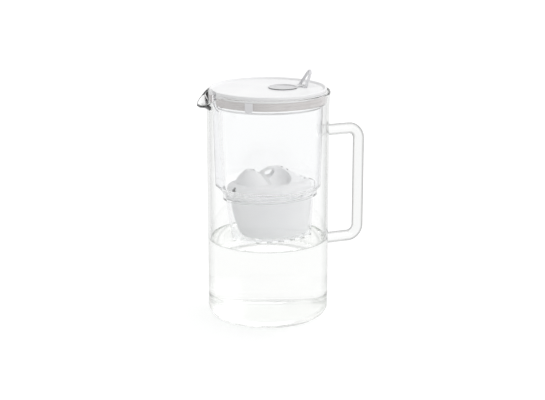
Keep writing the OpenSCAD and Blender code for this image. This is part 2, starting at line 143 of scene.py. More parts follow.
def plastic(name, low, high, rough, grain=0.03, grain_scale=900.0, tone_scale=25.0, passing=None, **sockets):
    """Moulded material: its colour runs from low to high with the slow tone of the surface group."""
    material, tree, shader = start_material(name)
    if passing:
        let_lamplight_through(tree, shader, (passing,) * 3)
    surface = add_node(tree, "ShaderNodeGroup", node_tree=SURFACE)
    surface.inputs["Grain Scale"].default_value = grain_scale
    surface.inputs["Tone Scale"].default_value = tone_scale
    ramp = add_node(tree, "ShaderNodeValToRGB")
    ramp.color_ramp.elements[0].position = 0.35
    ramp.color_ramp.elements[0].color = (*low, 1)
    ramp.color_ramp.elements[1].position = 0.65
    ramp.color_ramp.elements[1].color = (*high, 1)
    tree.links.new(surface.outputs["Tone"], ramp.inputs["Fac"])
    tree.links.new(ramp.outputs["Color"], shader.inputs["Base Color"])
    spread = add_node(tree, "ShaderNodeMapRange")
    spread.inputs["To Min"].default_value = rough * 0.85
    spread.inputs["To Max"].default_value = rough * 1.15
    tree.links.new(surface.outputs["Grain"], spread.inputs["Value"])
    tree.links.new(spread.outputs["Result"], shader.inputs["Roughness"])
    bump = add_node(tree, "ShaderNodeBump")
    bump.inputs["Strength"].default_value = grain
    bump.inputs["Distance"].default_value = 0.001
    tree.links.new(surface.outputs["Grain"], bump.inputs["Height"])
    tree.links.new(bump.outputs["Normal"], shader.inputs["Normal"])
    for socket, value in sockets.items():
        shader.inputs[socket.replace("_", " ")].default_value = value
    return material


def clear(name, facing, edge, ior, shade, wave=0.0, wave_scale=18.0, blend=0.4, start=0.3):
    """Clear material: its colour darkens from facing to edge, painted shade on the edges seen at a slant,
    and lamplight passes it dimmed by shade.
    """
    material, tree, shader = start_material(name)
    let_lamplight_through(tree, shader, shade)
    shader.inputs["Transmission Weight"].default_value = 1
    shader.inputs["Roughness"].default_value = 0
    shader.inputs["IOR"].default_value = ior
    # Painted shade: Layer Weight darkens the colour where the surface is seen at a slant, which draws dark
    # edges.
    slant = add_node(tree, "ShaderNodeLayerWeight")
    slant.inputs["Blend"].default_value = blend
    ramp = add_node(tree, "ShaderNodeValToRGB")
    ramp.color_ramp.elements[0].position = start
    ramp.color_ramp.elements[0].color = (*facing, 1)
    ramp.color_ramp.elements[1].position = 1.0
    ramp.color_ramp.elements[1].color = (*edge, 1)
    tree.links.new(slant.outputs["Facing"], ramp.inputs["Fac"])
    tree.links.new(ramp.outputs["Color"], shader.inputs["Base Color"])
    if wave:
        place = add_node(tree, "ShaderNodeTexCoord")
        noise = add_node(tree, "ShaderNodeTexNoise")
        noise.inputs["Scale"].default_value = wave_scale
        noise.inputs["Detail"].default_value = 1
        bump = add_node(tree, "ShaderNodeBump")
        bump.inputs["Strength"].default_value = wave
        bump.inputs["Distance"].default_value = 0.001
        tree.links.new(place.outputs["Object"], noise.inputs["Vector"])
        tree.links.new(noise.outputs["Fac"], bump.inputs["Height"])
        tree.links.new(bump.outputs["Normal"], shader.inputs["Normal"])
    return material


GLASS_IOR = 1.47
MOULDING_IOR = 1.49
WATER_IOR = 1.333
FROSTED_IOR = 1.46
GLASS_FACING = (0.995, 0.998, 0.996)
WALL_SHADE = (0.985, 0.988, 0.985)
ROD_SHADE = (0.97, 0.972, 0.97)

# Painted shade: the edge colours of these clear materials darken their slanted edges, grey on the glass
# walls, lavender grey on the hopper and near black on the handle rod.
GLASS = clear("blown glass", GLASS_FACING, (0.34, 0.36, 0.35), GLASS_IOR, WALL_SHADE, wave=0.015,
              blend=0.5, start=0.55)
GLASS_FLOOR = clear("blown glass floor", GLASS_FACING, (0.88, 0.90, 0.89), GLASS_IOR, WALL_SHADE,
                    start=0.6)
GLASS_ROD_EDGE_SHADE = clear("glass rod", (0.94, 0.945, 0.94), (0.01, 0.011, 0.01), GLASS_IOR, ROD_SHADE,
                  blend=0.8, start=0.44)
# Painted shade: the foot ring is grey glass even face-on, drawing the dark outline of the base.
GLASS_FOOT_SHADE = clear("blown glass foot painted shade", (0.55, 0.56, 0.55), (0.25, 0.27, 0.26), GLASS_IOR, ROD_SHADE)
HOPPER_CLEAR = clear("clear moulding", (0.99, 0.992, 0.997), (0.42, 0.42, 0.48), MOULDING_IOR,
                     (0.985, 0.985, 0.99), start=0.5)
# Painted shade: the water's edge is grey clear water, drawing the dark line of the meniscus.
WATER_EDGE_SHADE = clear("water's edge painted shade", (0.62, 0.64, 0.62), (0.40, 0.42, 0.40), WATER_IOR, (0.97, 0.975, 0.97))
WATER = clear("water", (0.99, 0.992, 0.985), (0.86, 0.88, 0.86), WATER_IOR, (0.98, 0.985, 0.98), start=0.8)
LID_WHITE = plastic("frosted lid", (0.80, 0.80, 0.81), (0.84, 0.84, 0.845), 0.38, grain=0.05,
                    passing=0.8, IOR=FROSTED_IOR)
# Painted shade: the cap is the lid's frosted plastic made darker, standing for the shade in its dish.
CAP_WHITE_SHADED = plastic("frosted cap painted shade", (0.58, 0.58, 0.59), (0.64, 0.64, 0.65), 0.35, grain=0.05,
                    passing=0.8, IOR=FROSTED_IOR)
LOOP_CLEAR = plastic("milky loop", (0.78, 0.78, 0.80), (0.86, 0.86, 0.88), 0.3, grain=0.02,
                     passing=0.9, Transmission_Weight=0.45, IOR=FROSTED_IOR)
CARTRIDGE_WHITE = plastic("cartridge white", (0.83, 0.83, 0.84), (0.87, 0.87, 0.87), 0.42, grain=0.06)
# Painted shade: the dark grey of the walls of the cap's holes and slits.
HOLE_PAINTED_SHADE = plastic("shaded hole", (0.16, 0.16, 0.165), (0.22, 0.22, 0.225), 0.6)
GASKET_GREY = plastic("silicone grey", (0.58, 0.55, 0.55), (0.66, 0.63, 0.63), 0.55, grain=0.08)
TAB_PALE = plastic("silicone pale", (0.74, 0.73, 0.76), (0.80, 0.79, 0.81), 0.5, grain=0.06)
# Painted shadow: the cap's ring is a real seal, and its near-black colour stands for the shadow under the
# cap's rim.
SEAL_SHADOW_BLACK = plastic("seal painted shadow", (0.05, 0.05, 0.055), (0.08, 0.08, 0.085), 0.6, grain=0.1)
SEAL_PALE = plastic("seal pale", (0.70, 0.70, 0.70), (0.78, 0.78, 0.78), 0.5, grain=0.08)
FELT = plastic("felt", (0.70, 0.68, 0.62), (0.85, 0.83, 0.78), 0.9, grain=0.6, grain_scale=1600,
               tone_scale=300)
STEEL = plastic("pin steel", (0.42, 0.42, 0.43), (0.55, 0.55, 0.56), 0.35, grain=0.05, Metallic=1.0)
print("materials:", len(bpy.data.materials))

# %% [markdown]
# The two beds in the cartridge are loose grains. A Voronoi texture gives each grain its own cell:
# the cell's random colour sets its tone and the distance to its centre rounds it in the bump.

# %% Grain material
def grains(name, low, high, grain_size, rough):
    material, tree, shader = start_material(name)
    place = add_node(tree, "ShaderNodeTexCoord")
    cells = add_node(tree, "ShaderNodeTexVoronoi")
    cells.inputs["Scale"].default_value = 1 / grain_size
    tree.links.new(place.outputs["Object"], cells.inputs["Vector"])
    ramp = add_node(tree, "ShaderNodeValToRGB")
    ramp.color_ramp.elements[0].color = (*low, 1)
    ramp.color_ramp.elements[1].color = (*high, 1)
    split = add_node(tree, "ShaderNodeSeparateColor")
    tree.links.new(cells.outputs["Color"], split.inputs["Color"])
    tree.links.new(split.outputs["Red"], ramp.inputs["Fac"])
    tree.links.new(ramp.outputs["Color"], shader.inputs["Base Color"])
    bump = add_node(tree, "ShaderNodeBump", invert=True)
    bump.inputs["Strength"].default_value = 0.9
    bump.inputs["Distance"].default_value = grain_size
    tree.links.new(cells.outputs["Distance"], bump.inputs["Height"])
    tree.links.new(bump.outputs["Normal"], shader.inputs["Normal"])
    shader.inputs["Roughness"].default_value = rough
    return material


CARBON = grains("carbon grains", (0.01, 0.01, 0.01), (0.06, 0.06, 0.06), 0.0011, 0.7)
RESIN = grains("resin beads", (0.35, 0.16, 0.03), (0.75, 0.48, 0.15), 0.0008, 0.25)
CAD_FINISHES = {"carbon_bed": CARBON, "resin_bed": RESIN, "inlet_screen": FELT, "bed_divider": FELT,
                "outlet_screen": FELT, "cartridge_seal": SEAL_PALE, "hinge_pin": STEEL}
for name, material in CAD_FINISHES.items():
    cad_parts[name].data.materials.clear()
    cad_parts[name].data.materials.append(material)
print("inner parts finished:", ", ".join(sorted(CAD_FINISHES)))

# %% [markdown]
# ## Tools for the pieces
# The pieces are modelled in millimetres and scaled to metres at the end. Three helpers do most of
# the work: a profile spun round the jug's axis, rings joined into a loft, and a boolean whose
# result is kept as the new mesh.

# %% Helpers
MM = 0.001
SEGMENTS = 192


def rounded(points, radii, steps=5):
    """Corners of a profile, each rounded by its radius with a short arc."""
    result = []
    count = len(points)
    for i, (point, radius) in enumerate(zip(points, radii)):
        here = Vector(point)
        if radius == 0 or i in (0, count - 1):
            result.append(here)
            continue
        before = (Vector(points[i - 1]) - here).normalized()
        after = (Vector(points[i + 1]) - here).normalized()
        half = before.angle(after) / 2
        reach = radius / math.tan(half)
        centre = here + (before + after).normalized() * radius / math.sin(half)
        start = here + before * reach - centre
        sweep = (here + after * reach - centre).angle_signed(start)
        for step in range(steps + 1):
            turn = Matrix.Rotation(sweep * step / steps, 2)
            result.append(centre + turn @ start)
    return result


def spin_profile(points, steps=SEGMENTS):
    """Closed or axis-to-axis profile of (radius, height), spun round the jug's axis."""
    bm = bmesh.new()
    verts = [bm.verts.new((radius, 0, height)) for radius, height in points]
    edges = [bm.edges.new(pair) for pair in zip(verts, verts[1:])]
    if min(points[0][0], points[-1][0]) > 0:
        edges.append(bm.edges.new((verts[-1], verts[0])))
    bmesh.ops.spin(bm, geom=verts + edges, cent=(0, 0, 0), axis=(0, 0, 1), angle=math.tau,
                   steps=steps, use_merge=True)
    bmesh.ops.remove_doubles(bm, verts=bm.verts, dist=0.0001)
    bmesh.ops.recalc_face_normals(bm, faces=bm.faces)
    return bm


def ring(bm, z, half_length, half_width, x, segments=96, squareness=2.0):
    """Oval loop of edges in the plane z, round x. A squareness above 2 gives fuller corners."""
    verts = bmesh.ops.create_circle(bm, segments=segments, radius=1)["verts"]
    for vert in verts:
        fuller = (abs(vert.co.x) ** squareness + abs(vert.co.y) ** squareness) ** (-1 / squareness)
        vert.co = (x + vert.co.x * fuller * half_length, vert.co.y * fuller * half_width, z)
    return list({edge for vert in verts for edge in vert.link_edges})


def join_rings(bm, rings):
    """Bridges each ring to the next, and fills the first and the last."""
    for lower, upper in zip(rings, rings[1:]):
        bmesh.ops.bridge_loops(bm, edges=lower + upper)
    for end in (rings[0], rings[-1]):
        bmesh.ops.contextual_create(bm, geom=end)
    bmesh.ops.recalc_face_normals(bm, faces=bm.faces)
    return bm


def sweep_tube(centres, directions, radii, segments=48):
    """Tube whose rings stand on centres, face along directions and have these radii."""
    bm = bmesh.new()
    rings = []
    for centre, direction, radius in zip(centres, directions, radii):
        turn = Vector(direction).to_track_quat("Z", "Y").to_matrix().to_4x4()
        made = bmesh.ops.create_circle(bm, segments=segments, radius=radius,
                                       matrix=Matrix.Translation(centre) @ turn)
        rings.append(list({edge for vert in made["verts"] for edge in vert.link_edges}))
    return join_rings(bm, rings)


def as_object(bm, name):
    mesh = bpy.data.meshes.new(name)
    bm.to_mesh(mesh)
    bm.free()
    made = bpy.data.objects.new(name, mesh)
    scene.collection.objects.link(made)
    return made


def keep_result(made):
    """Applies the modifiers of an object to its mesh."""
    bpy.context.view_layer.update()
    graph = bpy.context.evaluated_depsgraph_get()
    mesh = bpy.data.meshes.new_from_object(made.evaluated_get(graph))
    made.modifiers.clear()
    made.data = mesh


def boolean(made, other, operation="DIFFERENCE"):
    step = made.modifiers.new("boolean", "BOOLEAN")
    step.operation = operation
    step.solver = "EXACT"
    step.object = other
    keep_result(made)
    bpy.data.objects.remove(other)
    return made


def soften(made, width, segments=2, angle=35):
    """Small rounded edges, as a mould leaves them."""
    step = made.modifiers.new("rounded edges", "BEVEL")
    step.width = width
    step.segments = segments
    step.limit_method = "ANGLE"
    step.angle_limit = math.radians(angle)
    keep_result(made)


def finish_piece(made, material, body, nodes, sharp=40):
    """Metres, smooth shading, material, body and the frame nodes that it stands for."""
    made.data.transform(Matrix.Scale(MM, 4))
    made.data.shade_smooth()
    made.data.set_sharp_from_angle(angle=math.radians(sharp))
    made.data.materials.clear()
    made.data.materials.append(material)
    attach(made, body)
    if nodes:
        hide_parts(*nodes)
    print(f"{made.name}: {len(made.data.polygons)} faces")


def block(low, high):
    """Bmesh of a box between two corners, as a cutter."""
    bm = bmesh.new()
    bmesh.ops.create_cube(bm, size=1)
    size = Vector(high) - Vector(low)
    bmesh.ops.scale(bm, vec=size, verts=bm.verts)
    bmesh.ops.translate(bm, vec=(Vector(high) + Vector(low)) / 2, verts=bm.verts)
    return bm


def rod_between(start, end, radius, segments=48):
    way = Vector(end) - Vector(start)
    return sweep_tube([start, end], [way, way], [radius, radius], segments)


# %% [markdown]
# ## The glass jug
# The jug is borosilicate tube: straight wall, thick floor, a mouth that flares a little and a
# fire-polished rim. Its half section is spun. The lip is then pulled as a glass worker does it, by
# bending the upper wall outward and down in a strip as wide as the lip, so it keeps its thickness.

# %% Glass body
JUG_R = 65.0
JUG_H = 246.0
WALL = 2.6
FLOOR = 5.0
FLOOR_BEND_R = JUG_R - 20
FLOOR_BEND_RISE = 0.3
FLOOR_BEND_ROUND = 12
FLOOR_MIDDLE_RISE = 1.4
BASE_CORNER = 11.0
CORNER_END = 40
WALL_LEVELS = [12 + 20.9 * i for i in range(10)]
FLARE = 1.18
FLARE_H = 25.0
RIM_R = WALL / 2
INNER_R = JUG_R - WALL
RIM_Z = JUG_H - RIM_R
PUNT = 1.2


def flare_at(z):
    return FLARE * (max(0.0, z - JUG_H + FLARE_H) / FLARE_H) ** 2


def jug_profile():
    flare_levels = [JUG_H - FLARE_H + (RIM_Z - JUG_H + FLARE_H) * i / 16 for i in range(17)]
    outer = rounded([(0, PUNT), (JUG_R - 22, 0.55), (JUG_R - 17, 0), (JUG_R, 0), (JUG_R, CORNER_END)],
                    [0, 6, 4, BASE_CORNER, 0], steps=10)[:-1]
    outer += [Vector((JUG_R, z)) for z in WALL_LEVELS]
    outer += [Vector((JUG_R + flare_at(z), z)) for z in flare_levels]
    rim_centre = Vector((INNER_R + flare_at(RIM_Z) + RIM_R, RIM_Z))
    rim = [rim_centre + Matrix.Rotation(math.pi * i / 10, 2) @ Vector((RIM_R, 0)) for i in range(1, 10)]
    inner = [Vector((INNER_R + flare_at(z), z)) for z in reversed(flare_levels)]
    inner += [Vector((INNER_R, z)) for z in reversed(WALL_LEVELS[1:])]
    inner += rounded([(INNER_R, CORNER_END), (INNER_R, FLOOR), (FLOOR_BEND_R, FLOOR + FLOOR_BEND_RISE),
                      (0, FLOOR + FLOOR_MIDDLE_RISE)],
                     [0, BASE_CORNER - WALL, FLOOR_BEND_ROUND, 0], steps=10)[1:]
    return outer + rim + inner


glass = spin_profile(jug_profile(), steps=240)
print("glass wall:", len(glass.verts), "points")

# %% [markdown]
# The lip: a point of the wall is described by how far it is up the wall and by its offset from
# the wall's middle surface. The middle surface is bent along a smooth curve that starts upright
# and ends at the new edge, and the offset stays square to that curve.

# %% Pull the lip
LIP_FOOT = 222.0
LIP_TURN = 234.6
LIP_HALF = 28.4
LIP_REACH = 11.88
LIP_DROP = 10.2
MIDDLE_R = JUG_R - RIM_R


def pulled(point):
    """Where a point of the upper wall goes when the lip is drawn."""
    share = min(1.0, (LIP_HALF - abs(point.y)) / (LIP_HALF - 2.4))
    pull = share * share * (3 - 2 * share)
    radius = math.hypot(point.x, point.y)
    outward = Vector((point.x, point.y, 0)).normalized()
    rim_r = MIDDLE_R + flare_at(RIM_Z)
    level = min(point.z, RIM_Z)
    up = (level - LIP_FOOT) / (RIM_Z - LIP_FOOT)
    offset = radius - MIDDLE_R - flare_at(level)
    above = max(0.0, point.z - RIM_Z)

    def curve(step, amount):
        edge_r = rim_r + LIP_REACH * amount
        edge_z = RIM_Z - LIP_DROP * amount
        foot = Vector((MIDDLE_R + flare_at(LIP_FOOT), LIP_FOOT))
        turn = Vector((MIDDLE_R + 0.3, LIP_TURN))
        return foot * (1 - step) ** 2 + turn * 2 * step * (1 - step) + Vector((edge_r, edge_z)) * step ** 2

    plain = curve(up, 0.0)
    bent = curve(up, pull)
    slope = curve(up + 0.01, pull) - curve(up - 0.01, pull)
    along = slope.normalized()
    across = Vector((along.y, -along.x))
    shift = bent - plain + across * offset + along * above
    straight = Vector((offset, above))
    result = point + outward * (shift.x - straight.x) + Vector((0, 0, shift.y - straight.y))
    ease = min(1.0, max(0.0, up) * 4)
    return point.lerp(result, ease * ease * (3 - 2 * ease))


for vert in glass.verts:
    if vert.co.z > LIP_FOOT and vert.co.x < 0 and abs(vert.co.y) < LIP_HALF:
        vert.co = pulled(vert.co)
jug = as_object(glass, "glass_jug")
lowest_x = min(vert.co.x for vert in jug.data.vertices)
print("lip reaches", round(lowest_x, 1), "mm")

# %% [markdown]
# The handle is a solid glass rod bent to a rounded rectangle. Rings along its path make the tube,
# and the end rings widen where the hot rod was pressed on the wall. A boolean fuses it, so the
# light runs through wall and rod as through one body.

# %% Fuse the handle
ROD_R = 6.0
ROD_X = 106.7
ARM_TOP = 197.7
ARM_BOTTOM = 76.0
ROD_BEND = 12.0
FOOT_R = 7.2
BEND_STEPS = 14
UPRIGHT_STEPS = 8
ARM_STATIONS = (76, 82, 88)
ROD_ZONE_R = JUG_R + 0.9
FOOT_ZONE_R = JUG_R - 12
FOOT_ZONE_TOP = 1.8
FLOOR_ZONE_R = JUG_R - 8
FLOOR_ZONE_TOP = 8


def handle_path():
    """Centres, directions and radii of the rod, from the upper foot to the lower one."""
    centres, directions, radii = [], [], []

    def add(x, z, dx, dz, radius=ROD_R):
        centres.append(Vector((x, 0, z)))
        directions.append(Vector((dx, 0, dz)))
        radii.append(radius)

    foot = [(63.9, FOOT_R), (64.9, FOOT_R), (65.6, 6.75), (66.6, 6.3), (68.2, 6.05), (70.0, ROD_R)]
    for x, radius in foot:
        add(x, ARM_TOP, 1, 0, radius)
    for x in ARM_STATIONS:
        add(x, ARM_TOP, 1, 0)
    for i in range(BEND_STEPS + 1):
        turn = math.radians(90 * i / BEND_STEPS)
        add(ROD_X - ROD_BEND + ROD_BEND * math.sin(turn), ARM_TOP - ROD_BEND + ROD_BEND * math.cos(turn),
            math.cos(turn), -math.sin(turn))
    for i in range(1, UPRIGHT_STEPS):
        add(ROD_X, ARM_TOP - ROD_BEND - (ARM_TOP - ARM_BOTTOM - 2 * ROD_BEND) * i / UPRIGHT_STEPS, 0, -1)
    for i in range(BEND_STEPS + 1):
        turn = math.radians(90 * i / BEND_STEPS)
        add(ROD_X - ROD_BEND + ROD_BEND * math.cos(turn), ARM_BOTTOM + ROD_BEND - ROD_BEND * math.sin(turn),
            -math.sin(turn), -math.cos(turn))
    for x in reversed(ARM_STATIONS):
        add(x, ARM_BOTTOM, -1, 0)
    for x, radius in reversed(foot):
        add(x, ARM_BOTTOM, -1, 0, radius)
    return centres, directions, radii


rod = as_object(sweep_tube(*handle_path()), "rod")
boolean(jug, rod, "UNION")
finish_piece(jug, GLASS, "jug", ["jug_body", "jug_handle"], sharp=50)
# Painted shade: rod faces get the near-black edge shade and foot ring faces the grey foot shade. Floor faces
# get lighter edges.
for zone in (GLASS_ROD_EDGE_SHADE, GLASS_FLOOR, GLASS_FOOT_SHADE):
    jug.data.materials.append(zone)
for face in jug.data.polygons:
    if face.center.x > ROD_ZONE_R * MM:
        face.material_index = 1
    elif face.center.z < FOOT_ZONE_TOP * MM and face.center.xy.length > FOOT_ZONE_R * MM:
        face.material_index = 3
    elif face.center.z < FLOOR_ZONE_TOP * MM and face.center.xy.length < FLOOR_ZONE_R * MM:
        face.material_index = 2

# %% [markdown]
# ## The water
# The water fills the jug to just under the sleeve. Its skin lies a little inside the glass wall,
# so no film of air is left between the two, and its top climbs the wall in a small meniscus.

# %% Water
WATER_Z = 85.5
SKIN = 0.25
MENISCUS = 1.3
MENISCUS_WIDTH = 3.4
MENISCUS_SHADE_BAND = 2.2


def water_profile():
    inner = rounded([(0, FLOOR + FLOOR_MIDDLE_RISE - SKIN), (FLOOR_BEND_R, FLOOR + FLOOR_BEND_RISE - SKIN),
                     (INNER_R + SKIN, FLOOR - SKIN), (INNER_R + SKIN, CORNER_END)],
                    [0, FLOOR_BEND_ROUND, BASE_CORNER - WALL + SKIN, 0], steps=10)
    levels = [Vector((INNER_R + SKIN, z)) for z in (55, 70, 80, 85.3, WATER_Z + MENISCUS)]
    top = [Vector((INNER_R - MENISCUS_WIDTH * share, WATER_Z + MENISCUS * (1 - share) ** 2.4))
           for share in (0, 0.1, 0.25, 0.45, 0.7, 1)]
    return inner + levels + top + [Vector((INNER_R - 12, WATER_Z)), Vector((0, WATER_Z))]


water = as_object(spin_profile(water_profile()), "water")
finish_piece(water, WATER, "jug", [], sharp=80)
# Painted shade: the meniscus faces near the wall take the grey water's edge material.
water.data.materials.append(WATER_EDGE_SHADE)
for face in water.data.polygons:
    if face.center.z > WATER_Z * MM and face.center.xy.length > (INNER_R - MENISCUS_SHADE_BAND) * MM:
        face.material_index = 1

# %% [markdown]
# ## The hopper
# The hopper is a clear injection moulding: a round cup with one flat side toward the lip, a
# flange, an oval well that seats the cartridge and a tapered sleeve round it. The cup is spun and
# its flat is pressed in by moving the points. Well and sleeve are lofted from rings, and booleans
# join the outsides and then take out the insides.

# %% Hopper
HOPPER_WALL = 1.8
HOPPER_TOP_R = 58.8
HOPPER_LOW_R = 56.6
FLAT_TOP = 57.0
FLAT_LOW = 54.0
FLAT_END = 232.0
HOPPER_LOW_Z = 146.0
FLANGE_TOP = 245.9
FLANGE_Z = 243.32
FLANGE_R = 62.35
HOPPER_FLOOR = 137.5
MOUTH_R = 56.9
COLLAR_R = 61.2
GROOVE_R = 59.9
GROOVE_LOW = 234.8
GROOVE_HIGH = 243.3
CART_X = 3.0
CART_A = 50.3
CART_B = 33.0
WELL_GAP = 0.5
LEDGE_Z = 132.4
SLEEVE_Z = 86.1
SLEEVE_WALL = 1.6
CUP_Z = 89.0
FOOT_X = 4.2
DRAIN_STEP = 12
DRAIN_HALF = 3
DRAIN_REACH = 15
NOTCH_HALF = 9.0


def flat_at(z):
    share = (z - HOPPER_LOW_Z) / (FLANGE_TOP - HOPPER_LOW_Z)
    return FLAT_LOW + (FLAT_TOP - FLAT_LOW) * share


def press_flat(bm, inset, end=math.inf):
    """Moves the points beyond the flat side onto it, up to the height where it ends."""
    for vert in bm.verts:
        if vert.co.z < end:
            vert.co.x = max(vert.co.x, -flat_at(vert.co.z) + inset)


def hopper_cup(inset):
    """Round cup of the hopper, its outside or, with an inset, its inside."""
    floor = HOPPER_FLOOR - HOPPER_WALL + inset
    low = HOPPER_LOW_Z - HOPPER_WALL + inset
    top = FLANGE_TOP + (3 if inset else 0)
    reach = low - floor
    points = rounded([(0, floor), (HOPPER_LOW_R - inset - reach, floor), (HOPPER_LOW_R - inset, low),
                      (HOPPER_TOP_R - inset, top), (0, top)], [0, 2, 2.5, 0, 0], steps=4)
    bm = spin_profile(points)
    bmesh.ops.bisect_plane(bm, geom=bm.verts[:] + bm.edges[:] + bm.faces[:], dist=0.0001,
                           plane_co=(0, 0, FLAT_END + 1), plane_no=(0, 0, 1))
    return bm


CUP_RINGS = [(CUP_Z, 33.6, 22.2, 7.4), (CUP_Z + 0.5, 35.6, 23.9, 7.3), (CUP_Z + 1.5, 36.9, 25.0, 7.2),
             (CUP_Z + 3.2, 38.1, 25.6, 7.1), (98, 39.9, 26.4, 6.2), (106, 41.8, 27.2, 5.2),
             (114, 43.2, 27.9, 4.5), (122, 44.4, 28.6, 4.1), (130, 45.2, 29.2, 3.8),
             (132.6, 45.6, 29.4, 3.7)]
SLEEVE_RINGS = [(SLEEVE_Z, 44.7, 29.1, 5.0), (100, 46.4, 30.2, 3.8), (116, 47.8, 31.5, 2.9),
                (LEDGE_Z, 49.2, 32.8, 2.2)]


def tapered(rings, grow=0.0, segments=96, squareness=2.0):
    """Oval body through rings of (height, half length, half width, x), wider by grow."""
    bm = bmesh.new()
    return join_rings(bm, [ring(bm, z, length + grow, width + grow, x, segments, squareness)
                           for z, length, width, x in rings])


def well_body(low, high, gap):
    """Straight oval body between two heights, wider than the cartridge's flange by gap."""
    bm = bmesh.new()
    return join_rings(bm, [ring(bm, z, CART_A + gap, CART_B + gap, CART_X) for z in (low, high)])


outside = hopper_cup(0.0)
press_flat(outside, 0.0, end=FLAT_END)
hopper = as_object(outside, "hopper_clear")
mouth = spin_profile(rounded(
    [(MOUTH_R, 230.9), (58.7, 230.9), (COLLAR_R, 233.4), (COLLAR_R, GROOVE_LOW), (GROOVE_R, GROOVE_LOW),
     (GROOVE_R, GROOVE_HIGH), (MOUTH_R, GROOVE_HIGH)],
    [0, 0.8, 0.6, 0.4, 0.2, 0, 0], steps=3))
boolean(hopper, as_object(mouth, "mouth"), "UNION")
well = well_body(LEDGE_Z - HOPPER_WALL, HOPPER_LOW_Z - 2, WELL_GAP + HOPPER_WALL)
boolean(hopper, as_object(well, "well"), "UNION")
boolean(hopper, as_object(tapered(SLEEVE_RINGS), "sleeve"), "UNION")
inside = hopper_cup(HOPPER_WALL)
press_flat(inside, HOPPER_WALL)
boolean(hopper, as_object(inside, "inside"))
boolean(hopper, as_object(well_body(LEDGE_Z, HOPPER_LOW_Z + 6, WELL_GAP), "well inside"))
hollow = [(SLEEVE_Z + HOPPER_WALL, *SLEEVE_RINGS[0][1:])]
hollow += SLEEVE_RINGS[1:] + [(LEDGE_Z + 1, *SLEEVE_RINGS[-1][1:])]
boolean(hopper, as_object(tapered(hollow, -SLEEVE_WALL), "sleeve inside"))
for i in range(-2, 3):
    slot_x = CART_X + FOOT_X + DRAIN_STEP * i
    drain = block((slot_x - DRAIN_HALF, -DRAIN_REACH, SLEEVE_Z - 1),
                  (slot_x + DRAIN_HALF, DRAIN_REACH, SLEEVE_Z + 3))
    boolean(hopper, as_object(drain, "drain"))
boolean(hopper, as_object(block((-80, -NOTCH_HALF, 228), (-FLAT_TOP, NOTCH_HALF, 250)), "notch"))
soften(hopper, 0.3)
finish_piece(hopper, HOPPER_CLEAR, "hopper", ["hopper_shell"])

# %% [markdown]
# The hopper's flange is moulded on in white, under the lid's edge. It is its own ring, so that it
# can have the lid's frosted finish.

# %% White flange
flange = as_object(spin_profile(rounded(
    [(MOUTH_R + 0.2, FLANGE_Z), (FLANGE_R, FLANGE_Z), (FLANGE_R, FLANGE_TOP), (MOUTH_R + 0.2, FLANGE_TOP)],
    [0, 0.4, 0.6, 0]), steps=240), "hopper_rim_white")
boolean(flange, as_object(block((-80, -NOTCH_HALF, 228), (-50, NOTCH_HALF, 250)), "notch"))
finish_piece(flange, LID_WHITE, "hopper", [])

# %% [markdown]
# ## The gasket
# A silicone band sits in the groove under the hopper's flange and wipes the glass with two soft
# ribs. It is spun with its ribs and then opened toward the lip, where the water runs out.

# %% Gasket and its tab
GASKET_LOW = 234.95
GASKET_HIGH = 243.15
GASKET_IN_R = 59.95
GASKET_OUT_R = 61.6
RIB = 0.5
FIRST_RIB = 0.22
TAB_ANGLE = -130
TAB_W = 8.5
TAB_LOW = 232.55


def gasket_profile():
    outer = []
    for i in range(25):
        share = i / 24
        rib = 0.5 + 0.5 * math.cos(2 * math.pi * 2 * (share - FIRST_RIB))
        outer.append((GASKET_OUT_R + RIB * rib, GASKET_LOW + (GASKET_HIGH - GASKET_LOW) * share))
    return [(GASKET_IN_R, GASKET_LOW)] + outer + [(GASKET_IN_R, GASKET_HIGH)]


gasket = as_object(spin_profile(gasket_profile()), "silicone_gasket")
boolean(gasket, as_object(block((-80, -NOTCH_HALF, 228), (0, NOTCH_HALF, 250)), "notch"))
tab_seat = block((60.9, -TAB_W / 2 - 0.2, 230), (70, TAB_W / 2 + 0.2, 250))
bmesh.ops.rotate(tab_seat, verts=tab_seat.verts, matrix=Matrix.Rotation(math.radians(TAB_ANGLE), 3, "Z"))
boolean(gasket, as_object(tab_seat, "tab seat"))
soften(gasket, 0.15)
finish_piece(gasket, GASKET_GREY, "hopper", ["rim_gasket"])

tab_body = block((61.25, -TAB_W / 2, TAB_LOW), (62.3, TAB_W / 2, GASKET_HIGH))
corners = [edge for edge in tab_body.edges
           if abs(edge.verts[0].co.x - edge.verts[1].co.x) > 0.5 and edge.verts[0].co.z < 236]
bmesh.ops.bevel(tab_body, geom=corners, offset=3.6, segments=8, affect="EDGES", profile=0.5, material=-1)
bmesh.ops.rotate(tab_body, verts=tab_body.verts, matrix=Matrix.Rotation(math.radians(TAB_ANGLE), 3, "Z"))
tab = as_object(tab_body, "gasket_tab_soft")
soften(tab, 0.3, segments=3)
finish_piece(tab, TAB_PALE, "hopper", ["gasket_tab"])

# %% [markdown]
# ## The lid
# The lid is a frosted plate with a raised, rounded edge, a shallow dish and a plug ring that
# centres it in the hopper. Its section is spun, the hinge tray is let in, then the fill opening
# and the pouring notch are cut and every edge gets the small radius of a moulding.

# %% Lid
LID_R = 62.2
LID_Z = 246.2
LID_TOP = 249.5
DISH_Z = 247.3
PLATE_Z = 245.3
PLUG_Z = 239.8
PLUG_R = 56.6
FILL_X = 17.1
FILL_R = 14.6
HINGE_X = 39.0
HINGE_Z = 245.9
BARREL_R = 2.2
PIN_R = 1.0
TRAY_HALF = 10.9
TRAY_T = 1.4
TRAY_BACK = 2.6
TRAY_DEPTH = 2.5
TRAY_RAMP = 12.5
LID_NOTCH_HALF = 9.4
LID_NOTCH_X = 57.4
LID_GAP = 0.4

